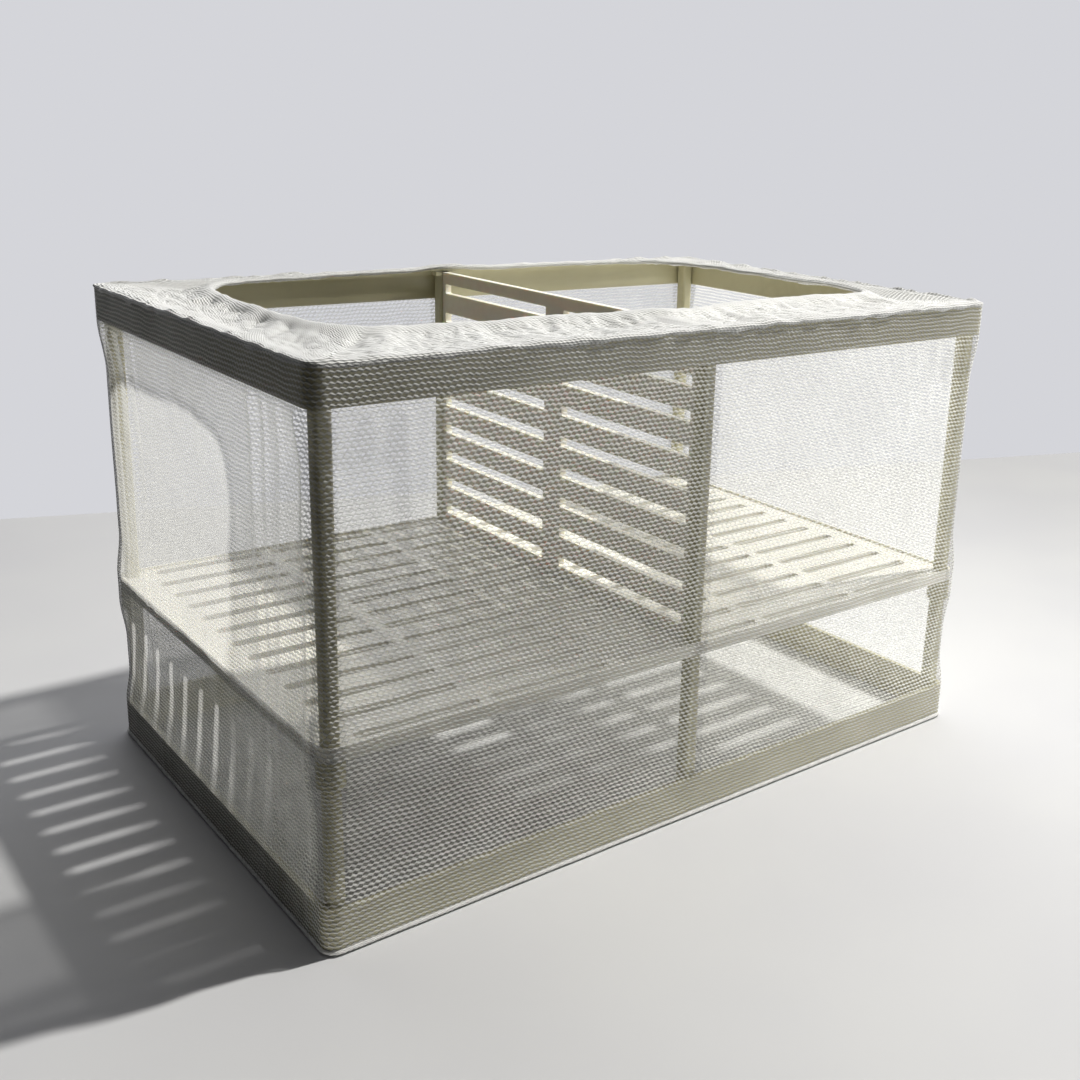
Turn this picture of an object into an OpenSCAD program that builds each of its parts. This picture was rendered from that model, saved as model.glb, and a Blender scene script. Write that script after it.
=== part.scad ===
// Fish breeding box: two moulded frames and twelve posts carry a slotted shelf and a sliding divider,
// and a sewn net bag with an elastic mouth is drawn over the whole of it.
// The origin is the middle of the underside of the floor net, with +Z up and the long side along X.

/* [Frames] */
// Length of the two frames, outside
frame_l = 249; // [200:1:300]
// Width of the two frames, outside
frame_w = 157; // [130:1:190]
// Height from the floor to the top of the upper frame
box_h = 154; // [130:1:180]
// Height of the upper frame's band
top_band_h = 10.5; // [8:0.5:14]
// Height of the lower frame's band
bottom_band_h = 12; // [8:0.5:14]
// Thickness of the bands
wall_t = 1.6; // [1.4:0.1:2]
// Radius of the frames' outer corners
corner_r = 4; // [4:0.5:5]
// Width of the lip inside each band
lip_w = 2; // [1.5:0.1:2.2]
// Thickness of the lip
lip_t = 1.6; // [1.2:0.1:2]

/* [Posts] */
// Side of a post where it meets a frame
post_w = 4.7; // [4.4:0.1:5]
// Side of a post where it meets the shelf
post_tip_w = 4.2; // [4:0.1:4.4]
// Depth of a middle post, along the width of the box
middle_post_d = 4.8; // [4.6:0.1:5.2]
// Diameter of the pins that join posts, shelf and frames
pin_d = 2; // [1.6:0.1:2.2]
// Diameter of the round collar that carries each corner of the shelf
collar_d = 7.6; // [7:0.1:8]
// Height of that collar
collar_h = 7.5; // [5:0.5:10]

/* [Shelf] */
// Height of the shelf's upper face above the floor
shelf_z = 57; // [45:1:75]
// Thickness of the shelf
shelf_t = 3.2; // [2.4:0.1:4]
// Height of the raised edge round the shelf
shelf_edge_h = 0.8; // [0.4:0.1:1.2]
// Radius of the shelf's corners
shelf_corner_r = 4.5; // [4:0.5:5]
// Width of a slot in the shelf
shelf_slot_w = 4; // [3:0.1:5]
// Distance between two rows of shelf slots
shelf_slot_pitch = 12.1; // [11.5:0.1:12.2]
// Length of a whole shelf slot
shelf_slot_l = 40; // [36:1:42]
// Width of the bridge between two slots in a row
shelf_bridge_w = 3.6; // [2:0.1:5]

/* [Divider] */
// Thickness of the divider
divider_t = 2.4; // [2:0.1:2.6]
// Height of a slot in the divider
divider_slot_h = 3.4; // [2.5:0.1:4.5]
// Distance between two rows of divider slots
divider_slot_pitch = 10.6; // [9:0.1:10.8]
// Width of the upright bar in the middle of the divider
divider_bar_w = 10; // [6:1:16]

/* [Net] */
// Thickness of the net
net_t = 0.5; // [0.4:0.1:0.8]
// How far the net is drawn in between the frames
net_pull = 1.3; // [0.8:0.1:1.3]
// Width of the net's flap over the front of the upper frame
flap_front = 35.5; // [20:0.5:50]
// Width of the flap over the rear
flap_rear = 5; // [5:0.5:20]
// Width of the flap over the left end
flap_left = 23.5; // [10:0.5:40]
// Width of the flap over the right end
flap_right = 11.5; // [10:0.5:40]
// How square the mouth's rear corners are: 2 is an ellipse, more is nearer a rectangle
mouth_power = 5; // [3:0.5:8]
// How square the mouth's front left corner is
mouth_power_left = 7; // [3:0.5:16]
// How square the mouth's front right corner is
mouth_power_right = 14; // [3:0.5:20]
// Width of the hem round the mouth
hem_w = 3; // [2.5:0.1:4]
// Thickness of the hem
hem_t = 1.4; // [1.2:0.1:2]

/* [Hidden] */
$fn = 48;

plastic_color = [0.91, 0.9, 0.85];
divider_color = [0.88, 0.87, 0.81];
net_color = [0.95, 0.96, 0.97, 0.35];
hem_color = [0.97, 0.97, 0.96];
elastic_color = [0.85, 0.85, 0.84];

// Heights of the levels in the stack, from the floor up
frame_z = net_t;
lower_pad_top = frame_z + lip_t;
bottom_band_top = frame_z + bottom_band_h;
shelf_under = shelf_z - shelf_t;
upper_pad_under = box_h - lip_t;
top_band_under = box_h - top_band_h;

// Plan of the posts
post_gap = 0.5;
post_edge_r = 1;
post_inset = wall_t + post_gap + post_w / 2;
post_x = frame_l / 2 - post_inset;
post_y = frame_w / 2 - post_inset;
post_face_y = frame_w / 2 - wall_t - post_gap;
middle_post_y = post_face_y - middle_post_d / 2;
middle_pin_y = post_face_y - 1.7;
groove_d = 1.5;
groove_clear = 0.1;
groove_w = divider_t + 2 * groove_clear;
groove_floor_y = post_face_y - middle_post_d + groove_d;
pad_w = 8;

// Pins and the holes that take them
pin_clear = 0.05;
frame_pin_l = lip_t - 0.2;
shelf_pin_l = shelf_t + 3;
shelf_pin_hole = 3.5;

// Plan of the shelf
shelf_l = frame_l - 1.2;
shelf_w = frame_w - 1.2;
shelf_edge_w = 0.8;
shelf_slot_end = frame_l / 2 - 9;
shelf_slot_end_by_post = post_x - collar_d / 2 - 3.5;
shelf_middle_bridge = 8;
shelf_slot_rows = 6;
slots_per_half = 3;

// Elevation of the divider
divider_w = 2 * (groove_floor_y - 0.2);
divider_low = shelf_z + 0.05;
divider_high = box_h - 0.3;
divider_side_w = 3.2;
divider_rows = 9;

// Plan of the net and its mouth
mouth_x = (flap_left - flap_right) / 2;
mouth_y = (flap_front - flap_rear) / 2;
mouth_half_l = (frame_l - flap_left - flap_right) / 2;
mouth_half_w = (frame_w - flap_front - flap_rear) / 2;
mouth_points = 72;
hem_wall = 0.35;
elastic_w = 1.6;
elastic_t = 0.6;
net_l = frame_l + 2 * net_t;
net_w = frame_w + 2 * net_t;
net_r = corner_r + net_t;

// Stations of the net's wall: height above the floor, and how far it is drawn in there
net_stations = [
    [net_t, 0],
    [bottom_band_top, 0],
    [bottom_band_top + 9, net_pull],
    [shelf_under - collar_h - 10, net_pull],
    [shelf_under - collar_h - 2, 0.3],
    [shelf_z + shelf_edge_h + 0.5, 0.3],
    [shelf_z + 9, net_pull],
    [top_band_under - 13, net_pull],
    [top_band_under, 0],
    [box_h, 0]
];

// A rectangle about the origin with round corners
module rounded_rect(l, w, r) {
    square([l - 2 * r, w], center = true);
    square([l, w - 2 * r], center = true);
    for (x = [-1, 1], y = [-1, 1])
        translate([x * (l / 2 - r), y * (w / 2 - r)])
            circle(r = r);
}

// A rounded rectangle with a smaller one cut out of it, w_all wide all round
module rounded_band(l, w, r, w_all) {
    difference() {
        rounded_rect(l, w, r);
        rounded_rect(l - 2 * w_all, w - 2 * w_all, r - w_all);
    }
}

// One frame as it leaves the mould: band, lip, pads for the posts and their pin holes, lip side down
module frame_moulding(band_h) {
    inner_l = frame_l - 2 * wall_t;
    inner_w = frame_w - 2 * wall_t;
    difference() {
        union() {
            linear_extrude(band_h)
                rounded_band(frame_l, frame_w, corner_r, wall_t);
            linear_extrude(lip_t)
                rounded_band(frame_l - wall_t, frame_w - wall_t, corner_r - wall_t / 2, wall_t / 2 + lip_w);
            linear_extrude(lip_t)
                intersection() {
                    rounded_rect(frame_l - wall_t, frame_w - wall_t, corner_r - wall_t / 2);
                    frame_pads();
                }
        }
        for (x = [-1, 1], y = [-1, 1])
            translate([x * post_x, y * post_y, 0])
                pin_hole(lip_t);
        for (y = [-1, 1])
            translate([0, y * middle_pin_y, 0])
                pin_hole(lip_t);
    }
}

// The pads that the posts stand on: a quarter round in each corner and a tab at each middle post
module frame_pads() {
    for (x = [-1, 1], y = [-1, 1])
        translate([x * (frame_l / 2 - wall_t), y * (frame_w / 2 - wall_t)])
            circle(r = pad_w);
    for (y = [-1, 1])
        translate([0, y * (post_face_y - middle_post_d / 2 + 1)])
            square([pad_w, middle_post_d + 2], center = true);
}

// A hole for a pin, cut upwards through a plate of the given thickness that stands on z = 0
module pin_hole(depth) {
    translate([0, 0, -1])
        cylinder(d = pin_d + 2 * pin_clear, h = depth + 2);
}

module top_frame() {
    color(plastic_color)
        difference() {
            translate([0, 0, box_h])
                mirror([0, 0, 1])
                    frame_moulding(top_band_h);
            // The notches that let the divider slide past the two middle tabs
            for (y = [-1, 1])
                translate([-groove_w / 2, y * groove_floor_y - (y > 0 ? 6 : 0), upper_pad_under - 1])
                    cube([groove_w, 6, lip_t + 2]);
        }
}

module bottom_frame() {
    color(plastic_color)
        translate([0, 0, frame_z])
            frame_moulding(bottom_band_h);
}

// A straight bar with a draft: a rounded rectangle of size a at the bottom and size b at the top
module drafted_bar(a, b, h) {
    skin = 0.01;
    hull() {
        linear_extrude(skin)
            rounded_rect(a[0], a[1], post_edge_r, $fn = 16);
        translate([0, 0, h - skin])
            linear_extrude(skin)
                rounded_rect(b[0], b[1], post_edge_r, $fn = 16);
    }
}

// An upper corner post: it stands on the shelf, its long pin goes down through it, and its short pin
// goes up into the upper frame
module upper_corner_post(x, y) {
    length = upper_pad_under - shelf_z;
    color(plastic_color)
        translate([x * post_x, y * post_y, shelf_z]) {
            drafted_bar([post_tip_w, post_tip_w], [post_w, post_w], length);
            translate([0, 0, -shelf_pin_l])
                cylinder(d = pin_d, h = shelf_pin_l + 1);
            translate([0, 0, length - 1])
                cylinder(d = pin_d, h = frame_pin_l + 1);
        }
}

// A lower corner post: it stands on the lower frame and spreads at the top into the round collar
// that carries the shelf
module lower_corner_post(x, y) {
    length = shelf_under - lower_pad_top;
    color(plastic_color)
        translate([x * post_x, y * post_y, lower_pad_top])
            difference() {
                union() {
                    drafted_bar([post_w, post_w], [post_tip_w, post_tip_w], length);
                    translate([0, 0, length - collar_h])
                        cylinder(d = collar_d, h = collar_h);
                    translate([0, 0, length - collar_h - 1])
                        cylinder(d1 = post_tip_w + 0.6, d2 = collar_d, h = 1);
                    translate([0, 0, -frame_pin_l])
                        cylinder(d = pin_d, h = frame_pin_l + 1);
                }
                translate([0, 0, length - shelf_pin_hole])
                    cylinder(d = pin_d + 2 * pin_clear, h = shelf_pin_hole + 1);
            }
}

// An upper middle post, with the groove that guides the divider down its inner face
module upper_middle_post(y) {
    length = upper_pad_under - shelf_z;
    color(plastic_color)
        translate([0, 0, shelf_z]) {
            difference() {
                translate([0, y * middle_post_y, 0])
                    drafted_bar([post_tip_w, middle_post_d], [post_w, middle_post_d], length);
                translate([-groove_w / 2, y * groove_floor_y - (y > 0 ? 6 : 0), -1])
                    cube([groove_w, 6, length + 2]);
            }
            translate([0, y * middle_pin_y, -shelf_pin_l])
                cylinder(d = pin_d, h = shelf_pin_l + 1);
            translate([0, y * middle_pin_y, length - 1])
                cylinder(d = pin_d, h = frame_pin_l + 1);
        }
}

// A lower middle post: a plain drafted bar under the middle of the shelf's long side
module lower_middle_post(y) {
    length = shelf_under - lower_pad_top;
    color(plastic_color)
        translate([0, 0, lower_pad_top])
            difference() {
                union() {
                    translate([0, y * middle_post_y, 0])
                        drafted_bar([post_w, middle_post_d], [post_tip_w, middle_post_d], length);
                    translate([0, y * middle_pin_y, -frame_pin_l])
                        cylinder(d = pin_d, h = frame_pin_l + 1);
                }
                translate([0, y * middle_pin_y, length - shelf_pin_hole])
                    cylinder(d = pin_d + 2 * pin_clear, h = shelf_pin_hole + 1);
            }
}

// A slot with round ends that runs along X from x0 to x1
module long_slot(x0, x1, w) {
    translate([x0 + w / 2, -w / 2])
        square([x1 - x0 - w, w]);
    for (x = [x0 + w / 2, x1 - w / 2])
        translate([x, 0])
            circle(d = w);
}

// One row of shelf slots to the right of the middle bridge, the outermost ending at x_end
module shelf_slot_row(x_end) {
    for (k = [0 : slots_per_half - 1]) {
        right = (k == 0) ? x_end : shelf_slot_end - k * (shelf_slot_l + shelf_bridge_w);
        left = shelf_slot_end - k * (shelf_slot_l + shelf_bridge_w) - shelf_slot_l;
        long_slot(max(left, shelf_middle_bridge / 2), right, shelf_slot_w);
    }
}

module shelf_tray() {
    color(plastic_color)
        translate([0, 0, shelf_under]) {
            difference() {
                linear_extrude(shelf_t)
                    difference() {
                        rounded_rect(shelf_l, shelf_w, shelf_corner_r);
                        for (row = [-shelf_slot_rows : shelf_slot_rows], side = [0, 1])
                            mirror([side, 0])
                                translate([0, row * shelf_slot_pitch])
                                    shelf_slot_row(abs(row) == shelf_slot_rows ? shelf_slot_end_by_post : shelf_slot_end);
                    }
                for (x = [-1, 1], y = [-1, 1])
                    translate([x * post_x, y * post_y, 0])
                        pin_hole(shelf_t);
                for (y = [-1, 1])
                    translate([0, y * middle_pin_y, 0])
                        pin_hole(shelf_t);
            }
            translate([0, 0, shelf_t])
                linear_extrude(shelf_edge_h)
                    rounded_band(shelf_l, shelf_w, shelf_corner_r, shelf_edge_w);
        }
}

module divider() {
    height = divider_high - divider_low;
    slot_l = (divider_w - divider_bar_w) / 2 - divider_side_w;
    slot_y = divider_bar_w / 2 + slot_l / 2;
    color(divider_color)
        translate([0, 0, divider_low + height / 2])
            rotate([90, 0, 90])
                translate([0, 0, -divider_t / 2])
                    linear_extrude(divider_t)
                        difference() {
                            rounded_rect(divider_w, height, 1.2);
                            for (row = [0 : divider_rows - 1], side = [-1, 1])
                                translate([side * slot_y, (row - (divider_rows - 1) / 2) * divider_slot_pitch])
                                    rounded_rect(slot_l, divider_slot_h, 0.6);
                        }
}

// The solid inside the net's wall, offset outwards by grow
module net_core(grow) {
    skin = 0.01;
    for (k = [0 : len(net_stations) - 2]) {
        low = net_stations[k];
        high = net_stations[k + 1];
        hull() {
            translate([0, 0, low[0]])
                linear_extrude(skin)
                    net_outline(grow - low[1]);
            translate([0, 0, high[0] - skin])
                linear_extrude(skin)
                    net_outline(grow - high[1]);
        }
    }
}

// Outline of the net's wall in plan, outside the frames by grow
module net_outline(grow) {
    rounded_rect(frame_l + 2 * grow, frame_w + 2 * grow, corner_r + grow, $fn = 32);
}

// The part of the net's wall that lies on one side; the wall is mitred at the corners
module net_wall(side_plan) {
    color(net_color)
        intersection() {
            difference() {
                net_core(net_t);
                net_core(0);
                for (z = [net_t - 1, box_h])
                    translate([0, 0, z])
                        linear_extrude(1)
                            square([2 * frame_l, 2 * frame_w], center = true);
            }
            linear_extrude(box_h + 1)
                polygon(side_plan);
        }
}

// Plan of the quarter that the front wall (toward = -1) or the rear wall (toward = 1) takes
function long_quarter(toward) = [
    [-frame_l, toward * (frame_w / 2 + frame_l / 2)],
    [frame_l, toward * (frame_w / 2 + frame_l / 2)],
    [(frame_l - frame_w) / 2, 0],
    [-(frame_l - frame_w) / 2, 0]
];

// Plan of the quarter that the left wall (toward = -1) or the right wall (toward = 1) takes
function short_quarter(toward) = [
    [toward * frame_l, frame_w / 2 + frame_l / 2],
    [toward * frame_l, -(frame_w / 2 + frame_l / 2)],
    [toward * (frame_l - frame_w) / 2, 0]
];

module net_floor() {
    color(net_color)
        linear_extrude(net_t)
            rounded_rect(net_l, net_w, net_r);
}

// A power of v that keeps v's sign
function signed_power(v, e) = sign(v) * pow(abs(v), e);

// Outline of the mouth of the net, a superellipse with a power of its own in each quarter, drawn in by shrink
module mouth_outline(shrink) {
    polygon([
        for (k = [0 : mouth_points - 1])
            let (
                a = 360 * k / mouth_points,
                e = 2 / (a <= 180 ? mouth_power : a < 270 ? mouth_power_left : mouth_power_right)
            )
                [
                    mouth_x + (mouth_half_l - shrink) * signed_power(cos(a), e),
                    mouth_y + (mouth_half_w - shrink) * signed_power(sin(a), e)
                ]
    ]);
}

module net_mouth() {
    color(net_color)
        translate([0, 0, box_h])
            linear_extrude(net_t)
                difference() {
                    rounded_rect(net_l, net_w, net_r);
                    mouth_outline(0);
                }
}

// The hem is a flat casing sewn round the mouth, hollow for the elastic
module net_hem() {
    color(hem_color)
        translate([0, 0, box_h])
            difference() {
                linear_extrude(hem_t)
                    difference() {
                        mouth_outline(0);
                        mouth_outline(hem_w);
                    }
                translate([0, 0, hem_wall])
                    linear_extrude(hem_t - 2 * hem_wall)
                        difference() {
                            mouth_outline(hem_wall);
                            mouth_outline(hem_w - hem_wall);
                        }
            }
}

module hem_elastic() {
    color(elastic_color)
        translate([0, 0, box_h + hem_wall])
            linear_extrude(elastic_t)
                difference() {
                    mouth_outline(hem_w / 2 - elastic_w / 2);
                    mouth_outline(hem_w / 2 + elastic_w / 2);
                }
}

top_frame();
bottom_frame();
shelf_tray();
divider();
upper_corner_post(-1, -1);  // upper_post_front_left
upper_corner_post(1, -1);  // upper_post_front_right
upper_corner_post(-1, 1);  // upper_post_rear_left
upper_corner_post(1, 1);  // upper_post_rear_right
upper_middle_post(-1);  // upper_post_front_middle
upper_middle_post(1);  // upper_post_rear_middle
lower_corner_post(-1, -1);  // lower_post_front_left
lower_corner_post(1, -1);  // lower_post_front_right
lower_corner_post(-1, 1);  // lower_post_rear_left
lower_corner_post(1, 1);  // lower_post_rear_right
lower_middle_post(-1);  // lower_post_front_middle
lower_middle_post(1);  // lower_post_rear_middle
net_floor();
net_wall(long_quarter(-1));  // net_front
net_wall(long_quarter(1));  // net_rear
net_wall(short_quarter(-1));  // net_left
net_wall(short_quarter(1));  // net_right
net_mouth();
net_hem();
hem_elastic();
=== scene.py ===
import math

import bpy
import numpy as np
from mathutils import Matrix, Vector


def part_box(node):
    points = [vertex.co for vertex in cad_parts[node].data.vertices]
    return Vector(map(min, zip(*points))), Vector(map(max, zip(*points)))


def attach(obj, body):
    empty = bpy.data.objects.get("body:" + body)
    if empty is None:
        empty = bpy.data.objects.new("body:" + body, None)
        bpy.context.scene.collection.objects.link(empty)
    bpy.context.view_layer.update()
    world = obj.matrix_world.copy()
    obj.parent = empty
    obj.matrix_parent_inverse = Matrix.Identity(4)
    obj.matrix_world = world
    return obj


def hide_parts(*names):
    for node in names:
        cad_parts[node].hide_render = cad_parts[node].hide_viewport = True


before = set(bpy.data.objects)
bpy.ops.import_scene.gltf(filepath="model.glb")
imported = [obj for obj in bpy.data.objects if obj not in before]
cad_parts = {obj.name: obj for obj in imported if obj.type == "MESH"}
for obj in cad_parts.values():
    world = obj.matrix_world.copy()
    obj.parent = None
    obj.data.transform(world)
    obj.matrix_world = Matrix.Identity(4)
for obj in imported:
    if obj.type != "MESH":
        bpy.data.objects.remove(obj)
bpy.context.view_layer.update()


# --- The skeleton ---------------------------------------------------------------------------------
# Two moulded frames, twelve drafted posts, the slotted shelf and the slide-in divider. All of them are
# polypropylene straight from the mould, with a satin skin, faint flow marks and handling scratches; the
# frames and posts are a yellower cream than the shelf and the divider, and their cream is also made much
# darker than the shelf's, which is painted shade for faces that stand mostly in shade.

def node_group(name, inputs, outputs):
    """An empty shader node group with these (name, kind, value) inputs and (name, kind) outputs."""
    group = bpy.data.node_groups.new(name, "ShaderNodeTree")
    for label, kind, value in inputs:
        socket = group.interface.new_socket(label, in_out="INPUT", socket_type=kind)
        if value is not None:
            socket.default_value = value
    for label, kind in outputs:
        group.interface.new_socket(label, in_out="OUTPUT", socket_type=kind)
    return group


def add(tree, kind, values=(), **settings):
    """A node of this kind with its settings; values fill its inputs in order, and a socket is linked."""
    made = tree.nodes.new(kind)
    for key, value in settings.items():
        setattr(made, key, value)
    for place, value in enumerate(values):
        if isinstance(value, bpy.types.NodeSocket):
            tree.links.new(value, made.inputs[place])
        elif value is not None:
            made.inputs[place].default_value = value
    return made


def assign(node, values):
    """Gives the node's inputs the values that stand under their names."""
    for label, value in values.items():
        node.inputs[label].default_value = value


def calc(tree, operation, *values):
    """The result of a Math node."""
    return add(tree, "ShaderNodeMath", values, operation=operation).outputs[0]


def plus(tree, a, b):
    """a + b."""
    return calc(tree, "ADD", a, b)


def minus(tree, a, b):
    """a - b."""
    return calc(tree, "SUBTRACT", a, b)


def times(tree, a, b):
    """a * b."""
    return calc(tree, "MULTIPLY", a, b)


def ramp(tree, value, low, high, to_low=0.0, to_high=1.0):
    """value carried from low..high to to_low..to_high along a smooth step."""
    values = (value, low, high, to_low, to_high)
    return add(tree, "ShaderNodeMapRange", values, interpolation_type="SMOOTHSTEP").outputs[0]


def noise(tree, where, scale, detail=2.0, roughness=0.5):
    """A noise value at the point where."""
    made = add(tree, "ShaderNodeTexNoise")
    tree.links.new(where, made.inputs["Vector"])
    assign(made, {"Scale": scale, "Detail": detail, "Roughness": roughness})
    return made.outputs[0]


def blended(tree, share, first, second):
    """The colour first where share is 0, second where it is 1; each is a socket or three numbers."""
    mix = add(tree, "ShaderNodeMix", data_type="RGBA", clamp_factor=True)
    tree.links.new(share, mix.inputs[0])
    for place, colour in ((6, first), (7, second)):
        if isinstance(colour, bpy.types.NodeSocket):
            tree.links.new(colour, mix.inputs[place])
        else:
            mix.inputs[place].default_value = (*colour, 1)
    return mix.outputs[2]


def new_material(name):
    """A material with its node tree and its Principled BSDF."""
    made = bpy.data.materials.new(name)
    made.use_nodes = True
    return made, made.node_tree, made.node_tree.nodes["Principled BSDF"]


def relief(tree, body, height, strength, distance):
    """Turns the body's normals as a height map of this depth would."""
    bump = add(tree, "ShaderNodeBump")
    assign(bump, {"Strength": strength, "Distance": distance})
    tree.links.new(height, bump.inputs["Height"])
    tree.links.new(bump.outputs[0], body.inputs["Normal"])


def moulded_skin():
    """Colour, roughness and height of a moulded surface: broad clouding, long flow marks along the piece,
    fine orange peel, and thin scratches where a stretched noise meets its middle value."""
    inputs = [
        ("Point", "NodeSocketVector", None),
        ("Light", "NodeSocketColor", (0.8, 0.8, 0.8, 1)),
        ("Dark", "NodeSocketColor", (0.7, 0.7, 0.7, 1)),
        ("Wear", "NodeSocketFloat", 0.5),
    ]
    outputs = [
        ("Color", "NodeSocketColor"),
        ("Roughness", "NodeSocketFloat"),
        ("Height", "NodeSocketFloat"),
    ]
    tree = node_group("moulded_skin", inputs, outputs)
    given = add(tree, "NodeGroupInput").outputs
    out = add(tree, "NodeGroupOutput").inputs
    cloud = noise(tree, given["Point"], 28.0, 3.0, 0.6)
    along = add(tree, "ShaderNodeMapping", (given["Point"],), vector_type="POINT")
    assign(along, {"Scale": (0.12, 1.0, 1.0)})
    flow = noise(tree, along.outputs[0], 260.0, 3.0, 0.55)
    peel = noise(tree, given["Point"], 2600.0, 2.0, 0.5)
    across = add(tree, "ShaderNodeMapping", (given["Point"],), vector_type="POINT")
    assign(across, {"Rotation": (0.4, 0.7, 0.5), "Scale": (0.05, 1.0, 1.0)})
    thread = noise(tree, across.outputs[0], 700.0, 1.0, 0.4)
    scratch = ramp(tree, calc(tree, "ABSOLUTE", minus(tree, thread, 0.5)), 0.0, 0.012, 1.0, 0.0)
    scratch = times(tree, scratch, ramp(tree, cloud, 0.5, 0.68))
    scratch = times(tree, scratch, given["Wear"])
    tone = plus(tree, times(tree, cloud, 0.65), times(tree, flow, 0.35))
    colour = blended(tree, ramp(tree, tone, 0.36, 0.64), given["Dark"], given["Light"])
    tree.links.new(colour, out["Color"])
    rough = plus(tree, times(tree, tone, 0.16), 0.34)
    tree.links.new(plus(tree, rough, times(tree, scratch, 0.22)), out["Roughness"])
    height = plus(tree, times(tree, peel, 0.35), times(tree, flow, 0.65))
    tree.links.new(minus(tree, height, times(tree, scratch, 0.8)), out["Height"])
    return tree


skin_group = moulded_skin()


def moulded_plastic(name, light, dark, wear, glow):
    """Satin polypropylene: the moulded skin over a body that light goes a little way into."""
    made, tree, body = new_material(name)
    where = add(tree, "ShaderNodeTexCoord").outputs["Object"]
    skin = add(tree, "ShaderNodeGroup", node_tree=skin_group)
    tree.links.new(where, skin.inputs["Point"])
    assign(skin, {"Light": (*light, 1), "Dark": (*dark, 1), "Wear": wear})
    tree.links.new(skin.outputs["Color"], body.inputs["Base Color"])
    tree.links.new(skin.outputs["Roughness"], body.inputs["Roughness"])
    relief(tree, body, skin.outputs["Height"], strength=0.35, distance=0.00012)
    assign(body, {"IOR": 1.49, "Subsurface Weight": glow})
    assign(body, {"Subsurface Radius": (1.0, 0.75, 0.35), "Subsurface Scale": 0.0025})
    return made


# partly painted shade: the frames' and posts' cream is yellower, and darker than the shelf's to stand in for
# their shade
cream = moulded_plastic("cream_polypropylene", (0.54, 0.51, 0.34), (0.48, 0.45, 0.29), 0.5, 0.06)
shelf_cream = moulded_plastic("shelf_polypropylene", (0.80, 0.78, 0.70), (0.75, 0.73, 0.64), 0.5, 0.1)
divider_cream = moulded_plastic("divider_polypropylene", (0.77, 0.745, 0.64), (0.71, 0.68, 0.57), 0.8, 0.3)

for name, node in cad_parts.items():
    if name.startswith("net_") or name == "hem_elastic":
        continue
    node.data.materials.clear()
    node.data.materials.append({"divider": divider_cream, "shelf_tray": shelf_cream}.get(name, cream))


# --- The net bag's walls --------------------------------------------------------------------------
# Four panels of white knitted nylon net, sewn to one another up the corners. The bag is drawn on tight
# over the two frames, so it lies flat on their bands and hugs the corner posts between them.

low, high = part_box("net_floor")
half_net = 0.00025
half_x = (high[0] - low[0]) / 2 - half_net
half_y = (high[1] - low[1]) / 2 - half_net
corner_r = 0.004 + half_net
wall_bottom = 0.0003
wall_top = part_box("net_mouth")[0][2]
lower_band_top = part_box("bottom_frame")[1][2]
upper_band_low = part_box("top_frame")[0][2]
shelf_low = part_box("shelf_tray")[0][2]
shelf_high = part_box("shelf_tray")[1][2]
drawn_in, drawn_in_at_shelf, hug_reach = 0.00165, 0.0002, 0.022


def smooth(t):
    """0 below 0, 1 above 1, and 3t^2 - 2t^3 between."""
    t = np.clip(t, 0, 1)
    return t * t * (3 - 2 * t)


def bell(x, middle, width):
    """exp(-((x - middle) / width)^2)."""
    return np.exp(-(((x - middle) / width) ** 2))


def ripple(u, v, seed, waves=9, longest=0.05, shortest=0.008):
    """A sum of plane waves with fixed directions and phases, each as high as its length allows; within
    about -1 to 1."""
    rng = np.random.default_rng(seed)
    total = np.zeros(np.broadcast(u, v).shape)
    size = 0.0
    for k in range(waves):
        length = longest * (shortest / longest) ** (k / (waves - 1))
        angle = rng.uniform(0, math.pi)
        phase = rng.uniform(0, 2 * math.pi)
        along = u * math.cos(angle) + v * math.sin(angle)
        total = total + length * np.sin(2 * math.pi * along / length + phase)
        size += length
    return total / size * 1.8


def wall_inset(from_corner, z):
    """How far the net is drawn in from the bands' plane: nothing on the bands, most just below and above
    them near the corners, where it hugs the posts, and next to nothing at the shelf's edge."""
    at_lower_band, at_upper_band, at_shelf_edge, shelf_reach = 0.012, 0.016, 0.014, 0.016
    below = smooth((z - lower_band_top) / at_lower_band)
    below = below * smooth((shelf_low - 0.004 - z) / at_shelf_edge)
    above = smooth((z - shelf_high - 0.001) / at_shelf_edge)
    above = above * smooth((upper_band_low - z) / at_upper_band)
    at_shelf = smooth((z - shelf_low + shelf_reach) / at_shelf_edge)
    at_shelf = at_shelf * smooth((shelf_high + shelf_reach - z) / at_shelf_edge)
    hug = 0.25 + 0.75 * bell(from_corner, 0, hug_reach)
    return drawn_in * hug * np.maximum(below, above) + drawn_in_at_shelf * at_shelf


def tension_folds(from_left, from_right, z, seed):
    """Upright folds that hang from the upper band near the corners, as far as 45 mm in, and fade
    out going down: a few narrow bell-shaped ridges of uneven spacing."""
    rng = np.random.default_rng(seed)
    first_fold, fold_pitch, folds = 0.006, 0.009, 4
    drop = upper_band_low - z
    total = 0.0
    for distance in (from_left, from_right):
        for k in range(folds):
            place = first_fold + fold_pitch * k + rng.uniform(-0.002, 0.002)
            width = rng.uniform(0.0012, 0.0024)
            reach = rng.uniform(0.035, 0.085)
            lean = rng.uniform(0.02, 0.10)
            fade = smooth(drop / 0.004) * np.exp(-np.maximum(drop, 0) / reach)
            total = total + rng.uniform(0.35, 1.0) * fade * bell(distance, place + lean * drop, width)
    return total


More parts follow.
